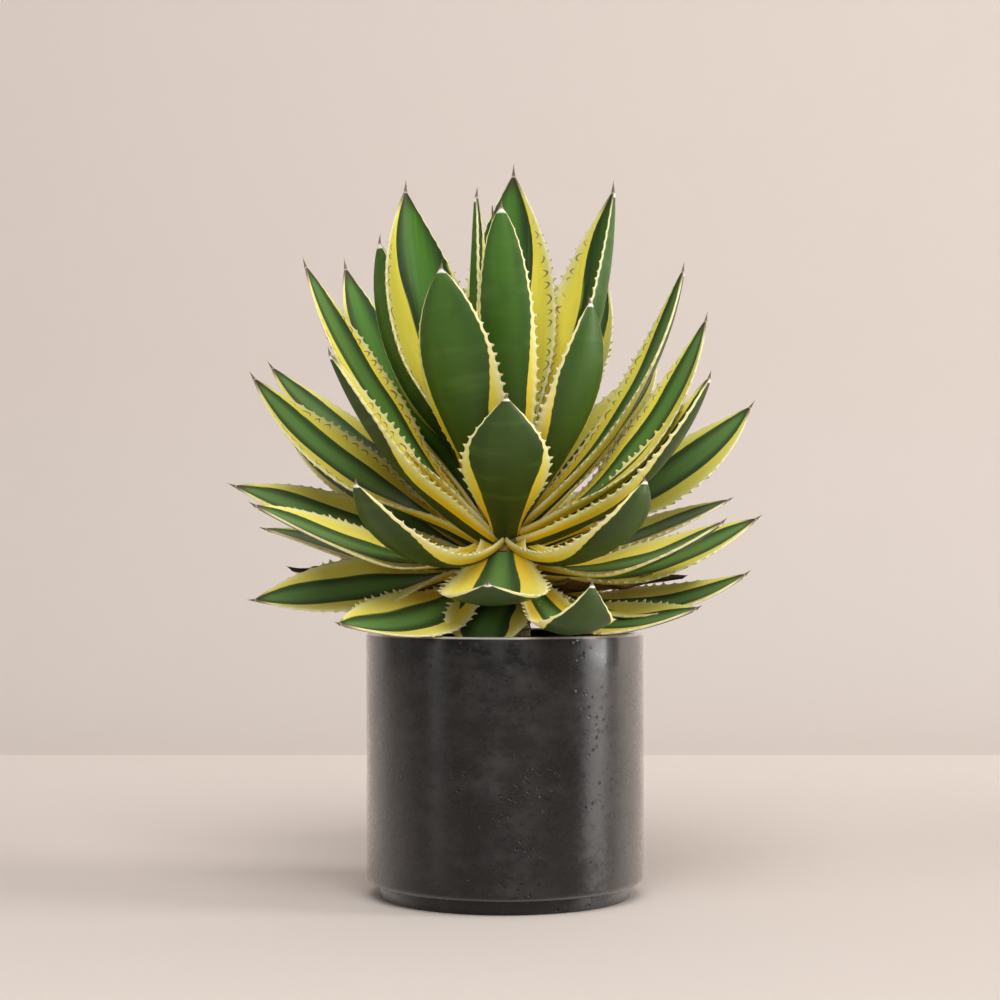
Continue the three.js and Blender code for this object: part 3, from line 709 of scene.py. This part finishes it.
def bark_look():
    look = Look("bark_chips")
    where = look.place()
    shade = look.layer("tone")
    fibre = look.noise(where, 0.9, 4, 0.7)
    color = look.mix(shade, srgb(72, 48, 32), srgb(146, 108, 72))
    color = look.mix(look.step(fibre, 0.45, 0.75), color, srgb(52, 36, 26))
    look.bump(fibre, 0.5, 0.8)
    return look.finish(color, 0.85, 0.25)


def stem_look():
    look = Look("stem")
    where = look.place()
    fibre = look.noise(where, 0.7, 4, 0.65)
    split = look.node("ShaderNodeSeparateXYZ", {0: where})
    ring = look.math("SINE", look.math("MULTIPLY", split.outputs["Z"], 2 * math.pi / SCAR_PITCH))
    color = look.mix(look.step(fibre, 0.35, 0.7), srgb(112, 98, 62), srgb(158, 146, 98))
    color = look.mix(look.step(ring, 0.5, 0.95), color, srgb(84, 62, 42))
    look.bump(fibre, 0.5, 0.7)
    return look.finish(color, 0.75, 0.3)


def bud_look():
    look = Look("bud")
    where = look.place()
    share = look.layer("across")
    along = look.layer("along")
    drawn_out = look.vector(look.math("MULTIPLY", share, 30), look.math("MULTIPLY", along, 2), 3.0)
    streak = look.noise(drawn_out, detail=3)
    green = look.mix(look.step(streak, 0.4, 0.7), srgb(74, 116, 50), srgb(118, 154, 72))
    yellow = look.mix(look.step(along, 0.1, 0.7), srgb(226, 208, 84), srgb(234, 222, 128))
    color = look.mix(look.step(share, 0.66, 0.7), green, yellow)
    color = look.mix(look.step(share, 0.95, 0.98), color, srgb(236, 226, 180))
    color = look.mix(look.step(along, 0.93, 0.985), color, srgb(84, 62, 46))
    look.bump(look.noise(where, 0.8, 3), 0.2, 0.5)
    return look.finish(color, 0.42, 0.45)


def paper_look():
    """Pale paper on the floor and wall; painted light makes the floor paler towards the back, up to a
    faint painted line on the floor where it would bend into the wall.
    """
    look = Look("stage_paper")
    where = look.place()
    grain = look.noise(where, 0.01, 2)
    depth = look.node("ShaderNodeSeparateXYZ", {0: where}).outputs["Y"]
    # Painted light: the floor is painted paler towards the back, and past a painted line the tone
    # steps, where the floor would bend into the wall.
    painted_light_to_back = look.step(depth, PAINTED_LIGHT_FROM, PAINTED_BEND_AT)
    paper_and_painted_light = look.mix(painted_light_to_back, srgb(228, 217, 209), srgb(247, 236, 229))
    tone = look.mix(look.step(depth, PAINTED_BEND_AT - 1, PAINTED_BEND_AT + 1), paper_and_painted_light, srgb(233, 223, 216))
    tone = look.mix(look.math("MULTIPLY", grain, 0.06), tone, srgb(208, 197, 189))
    return look.finish(tone, 0.85, 0.2)


def lathe(name, profile, sides, looks, shift=None, layers=None):
    """A closed solid turned about the z axis; shift moves every point."""
    rings = np.array([p for p in profile if p[0] > 0], float)
    angles = np.linspace(0, 2 * math.pi, sides, endpoint=False)
    ring_points = [
        (radius * math.cos(a), radius * math.sin(a), height) for radius, height in rings for a in angles
    ]
    points = [(0, 0, profile[0][1]), *ring_points, (0, 0, profile[-1][1])]
    faces = []
    top = len(points) - 1
    for q in range(sides):
        n = (q + 1) % sides
        faces.append((0, 1 + n, 1 + q))
        for r in range(len(rings) - 1):
            a = 1 + r * sides
            faces.append((a + q, a + n, a + sides + n, a + sides + q))
        last = 1 + (len(rings) - 1) * sides
        faces.append((last + q, last + n, top))
    points = np.array(points, float)
    if shift is not None:
        points = shift(points)
    return new_object(name, points, faces, looks, layers)


def rounded(radius, height, bend, start, end, steps):
    angles = np.radians(np.linspace(start, end, steps + 1))
    return [(radius + bend * math.cos(a), height + bend * math.sin(a)) for a in angles]


def build_pot():
    inner = POT_RADIUS - POT_WALL
    levels = np.linspace(FOOT_HEIGHT + EDGE_ROUND, POT_HEIGHT - RIM_ROUND, 8)
    wall = [(POT_RADIUS, z) for z in levels[1:-1]]
    profile = [
        (0, 0),
        (FOOT_RADIUS - 0.8, 0),
        *rounded(FOOT_RADIUS - 0.8, 0.8, 0.8, -90, 0, 3),
        (FOOT_RADIUS, FOOT_HEIGHT - 0.4),
        (FOOT_RADIUS, FOOT_HEIGHT),
        *rounded(POT_RADIUS - EDGE_ROUND, FOOT_HEIGHT + EDGE_ROUND, EDGE_ROUND, -90, 0, 8),
        *wall,
        *rounded(POT_RADIUS - RIM_ROUND, POT_HEIGHT - RIM_ROUND, RIM_ROUND, 0, 90, 5),
        *rounded(inner + RIM_ROUND, POT_HEIGHT - RIM_ROUND, RIM_ROUND, 90, 180, 5),
        (inner, POT_BASE),
        (0, POT_BASE),
    ]

    def waver(points):
        """The turned wall is a little uneven."""
        radius = np.hypot(points[:, 0], points[:, 1])
        angle = np.arctan2(points[:, 1], points[:, 0])
        broad = 0.12 * np.sin(3 * angle + points[:, 2] / 31)
        narrow = 0.08 * np.sin(7 * angle - points[:, 2] / 17)
        uneven = broad + narrow
        scale = 1 + np.where(radius > inner + 1, uneven / np.maximum(radius, 1), 0)
        points[:, :2] *= scale[:, None]
        return points

    pot = lathe("pot.glazed", profile, 160, [glaze_look()], waver)
    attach(pot, "root")
    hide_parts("pot")


def mix_height(radius, hole, outer):
    """The mix is domed between the pot's wall and the stem."""
    return MIX_EDGE + MIX_DOME * (1 - ((radius - hole) / (outer - hole)) ** 2)


def build_mix():
    outer = POT_RADIUS - POT_WALL - CLEARANCE
    bottom = POT_BASE + CLEARANCE
    hole = STEM_RADIUS + CLEARANCE
    top = [(r, mix_height(r, hole, outer)) for r in np.linspace(outer, hole, 34)]
    seat = STEM_FOOT - CLEARANCE
    profile = [(0, bottom), (outer, bottom), *top, (hole, seat), (0, seat)]
    random = np.random.default_rng(7)
    waves = []
    for _ in range(24):
        wave = random.uniform(0.05, 0.5, 2) * random.choice((-1, 1), 2)
        waves.append((wave, random.uniform(0, 6)))

    def crumble(points):
        radius = np.hypot(points[:, 0], points[:, 1])
        rise = sum(np.sin(points[:, :2] @ wave + phase) for wave, phase in waves) * 0.22
        free = smooth(outer - radius, 0.2, 3) * (points[:, 2] > MIX_EDGE - 0.5) * (radius > hole + 0.5)
        points[:, 2] += rise * free
        return points

    soil = lathe("potting_mix.soil", profile, 120, [mix_look()], crumble)
    chips = build_chips(random, hole, outer)
    for piece in (soil, chips):
        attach(piece, "root")
    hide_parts("potting_mix")


def build_chips(random, hole, outer):
    """Bark chips pressed half into the potting mix, each a bevelled lump."""
    points = []
    faces = []
    tone = []
    for _ in range(CHIPS):
        reach = math.sqrt(random.uniform((hole + 4) ** 2, (outer - 5) ** 2))
        turn = random.uniform(0, 2 * math.pi)
        height = mix_height(reach, hole, outer)
        centre = np.array([reach * math.cos(turn), reach * math.sin(turn), height + 0.4])
        size = random.uniform(0.5, 1.0) * np.array(CHIP_HALF_SIZE)
        spin = random.uniform(0, math.pi)
        tilt = random.uniform(-0.35, 0.35)
        shade = random.uniform(0, 1)
        first = len(points)
        for level, width in ((-1, 0.7), (-0.3, 1.0), (0.5, 0.92), (1, 0.6)):
            for q in range(CHIP_SIDES):
                a = 2 * math.pi * q / CHIP_SIDES
                bulge = width * (1 + 0.22 * math.sin(2.3 * q + 5 * shade))
                x, y, z = size * (bulge * math.cos(a), bulge * math.sin(a), level)
                z += x * tilt
                spun_x = x * math.cos(spin) - y * math.sin(spin)
                spun_y = x * math.sin(spin) + y * math.cos(spin)
                points.append(centre + (spun_x, spun_y, z))
                tone.append(shade)
        for level in range(3):
            for q in range(CHIP_SIDES):
                a = first + level * CHIP_SIDES
                n = (q + 1) % CHIP_SIDES
                faces.append((a + q, a + n, a + CHIP_SIDES + n, a + CHIP_SIDES + q))
        faces.append(tuple(first + q for q in reversed(range(CHIP_SIDES))))
        faces.append(tuple(first + 3 * CHIP_SIDES + q for q in range(CHIP_SIDES)))
    layers = {"tone": tone}
    return new_object("potting_mix.chips", points, faces, [bark_look()], layers, smooth_faces=False)


def build_stem():
    bands = np.arange(STEM_FOOT, CROWN_HEIGHT, 0.8)
    scars = SCAR_HEIGHT * np.sin(2 * math.pi * bands / SCAR_PITCH)
    rings = [(stem_radius(z) + min(scar, 0.2), z) for z, scar in zip(bands, scars)]
    profile = [(0, STEM_FOOT), *rings, (CROWN_RADIUS, CROWN_HEIGHT), (0, CROWN_HEIGHT)]
    stem = lathe("stem.scarred", profile, 48, [stem_look()])
    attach(stem, "root")
    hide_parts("stem")


def build_bud():
    """The spear of young leaves, still rolled round each other."""
    foot = CROWN_HEIGHT + CLEARANCE
    length = BUD_TIP[2] - foot
    shares = [0, 0.12, 0.32, 0.56, 0.8, 0.95, 1]
    swell = [0.55, 0.85, 1, 0.82, 0.45, 0.14, 0.03]
    along = np.linspace(0, 1, 90)
    rings = [(BUD_RADIUS * np.interp(t, shares, swell), foot + t * length) for t in along]
    profile = [(0, foot), *rings, (0, BUD_TIP[2])]
    sides = 60
    share = np.tile(np.linspace(0, 1, sides, endpoint=False), len(along))
    lap = (share * BUD_LAPS + np.repeat(along, sides) * BUD_TURNS) % 1
    layers = {
        "across": [0, *np.abs(lap * 2 - 1), 0],
        "along": [0, *np.repeat(along, sides), 1],
    }

    def roll(points):
        t = np.clip((points[:, 2] - foot) / length, 0, 1)
        angle = np.arctan2(points[:, 1], points[:, 0]) / (2 * math.pi)
        lap = (angle * BUD_LAPS + t * BUD_TURNS) % 1
        points[:, :2] *= (0.9 + 0.1 * lap)[:, None]
        points[:, 0] += BUD_TIP[0] * t * t
        points[:, 1] += BUD_TIP[1] * t * t
        return points

    bud = lathe("bud.rolled", profile, sides, [bud_look()], roll, layers)
    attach(bud, "root")
    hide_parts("bud")


def build_stage():
    """A pale floor that bends up into a wall, which stands back far enough for rear views."""
    bend_foot = WALL_AT - WALL_BEND
    path = [(FLOOR_FRONT, 0), (bend_foot, 0)]
    for a in np.linspace(0, math.pi / 2, 13)[1:]:
        path.append((bend_foot + WALL_BEND * math.sin(a), WALL_BEND - WALL_BEND * math.cos(a)))
    path.append((WALL_AT, WALL_HEIGHT))
    points = [(x, y, z) for y, z in path for x in (-STAGE_HALF_WIDTH, STAGE_HALF_WIDTH)]
    faces = [(2 * k, 2 * k + 1, 2 * k + 3, 2 * k + 2) for k in range(len(path) - 1)]
    floor = new_object("stage.floor", points, faces, [paper_look()])


def add_light(name, place, target, size, power, color, height=None):
    light = bpy.data.lights.new(name, "AREA")
    light.energy = power
    light.color = color
    light.size = size
    if height is not None:
        light.shape = "RECTANGLE"
        light.size_y = height
    made = bpy.data.objects.new(name, light)
    made.location = place
    made.rotation_euler = (Vector(target) - Vector(place)).to_track_quat("-Z", "Y").to_euler()
    bpy.context.scene.collection.objects.link(made)


def build_light():
    add_light("key", (4.62, -0.81, 1.52), (0, 0, 0.12), 1.7, 140, (1, 0.985, 0.97), 2.98)
    add_light("fill", (-2.0, -1.25, 0.9), (0, 0, 0.15), 0.5, 5, (1, 0.985, 0.97), 1.2)
    add_light("top", (0.1, -1.45, 1.95), (0, 0, 0.22), 1.6, 36, (1, 0.99, 0.98))
    world = bpy.data.worlds.new("studio")
    world.use_nodes = True
    nodes = world.node_tree.nodes
    links = world.node_tree.links
    # The studio is dimmer on the side from which the plant is seen.
    where = nodes.new("ShaderNodeTexCoord")
    split = nodes.new("ShaderNodeSeparateXYZ")
    fall = nodes.new("ShaderNodeMapRange")
    fall.inputs["From Min"].default_value = -1
    fall.inputs["From Max"].default_value = 0.2
    fall.inputs["To Min"].default_value = 0.1
    fall.inputs["To Max"].default_value = 0.3
    links.new(where.outputs["Generated"], split.inputs[0])
    links.new(split.outputs["Y"], fall.inputs["Value"])
    links.new(fall.outputs["Result"], nodes["Background"].inputs["Strength"])
    nodes["Background"].inputs["Color"].default_value = (1, 0.985, 0.97, 1)
    bpy.context.scene.world = world
    bpy.context.scene.view_settings.view_transform = "Standard"


def build_camera():
    lens = bpy.data.cameras.new("camera")
    lens.lens = LENS
    lens.sensor_width = SENSOR
    lens.shift_y = LENS_SHIFT
    lens.clip_start = 0.01
    camera = bpy.data.objects.new("camera", lens)
    camera.location = CAMERA_AT
    camera.rotation_euler = (math.radians(90), 0, 0)
    bpy.context.scene.collection.objects.link(camera)
    bpy.context.scene.camera = camera


build_camera()
build_light()
build_stage()
build_pot()
build_mix()
build_stem()
build_bud()
leaf_looks = [leaf_upper_look(), leaf_underside_look(), tooth_look(), spine_look()]
dry_looks = [dry_leaf_look()] * 4
for number, row_of_leaf in enumerate(LEAVES):
    one = Leaf(number, row_of_leaf)
    build_leaf(one, dry_looks if one.dry else leaf_looks)
